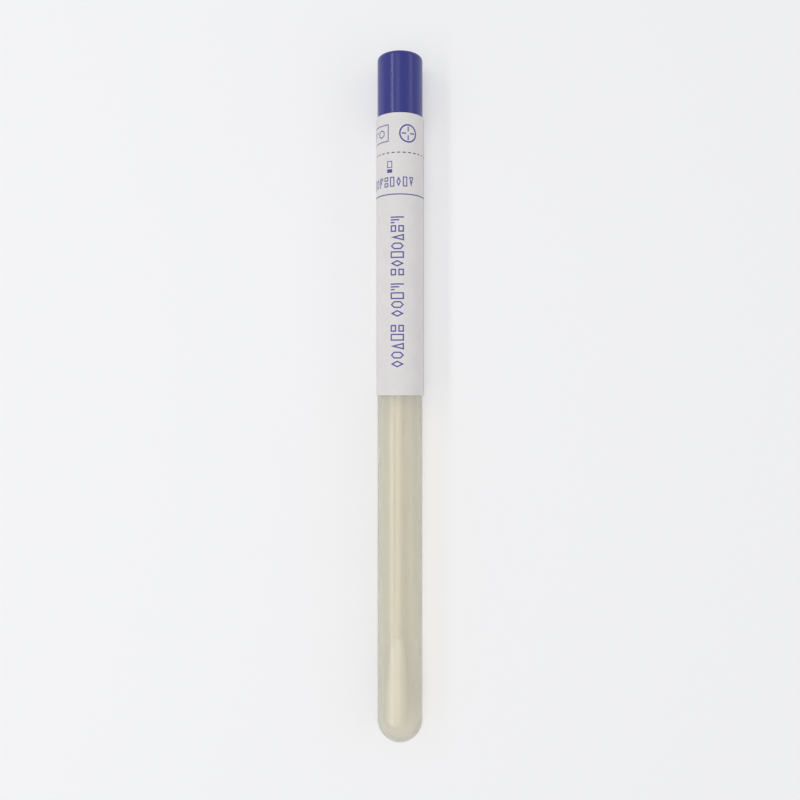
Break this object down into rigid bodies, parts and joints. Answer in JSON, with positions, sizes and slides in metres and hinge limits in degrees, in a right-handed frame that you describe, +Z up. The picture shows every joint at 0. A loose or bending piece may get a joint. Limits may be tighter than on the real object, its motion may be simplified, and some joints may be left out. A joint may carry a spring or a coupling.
{
  "type": "specimen swab tube",
  "caption": "Round-bottomed sample tube lying on its side, with a plug cap that carries a swab on a stick and a wrapped label perforated at the joint.",
  "frame": {"origin": "on the surface the tube lies on, under the middle of its length and under its axis", "axes": "+Y along the tube towards the cap, +Z up out of the surface and through the print of the label, +X to the right of the print"},
  "size_m": [0.0123, 0.1764, 0.0123],
  "materials": {
    "clear_polypropylene": "translucent satin",
    "blue_polyethylene": "satin moulded",
    "cream_polystyrene": "smooth",
    "swab_fibre": "wound fibre",
    "label_paper": "coated paper, printed in blue"
  },
  "bodies": {
    "tube_body": {"tube": "clear_polypropylene", "tube_label": "label_paper"},
    "swab_cap": {"cap": "blue_polyethylene", "stick": "cream_polystyrene", "bud": "swab_fibre", "seal_band": "label_paper"}
  },
  "joints": [
    {"name": "cap_pull", "type": "slide", "parent": "tube_body", "child": "swab_cap", "axis": [0, 1, 0], "range_m": [0, 0.16]}
  ]
}
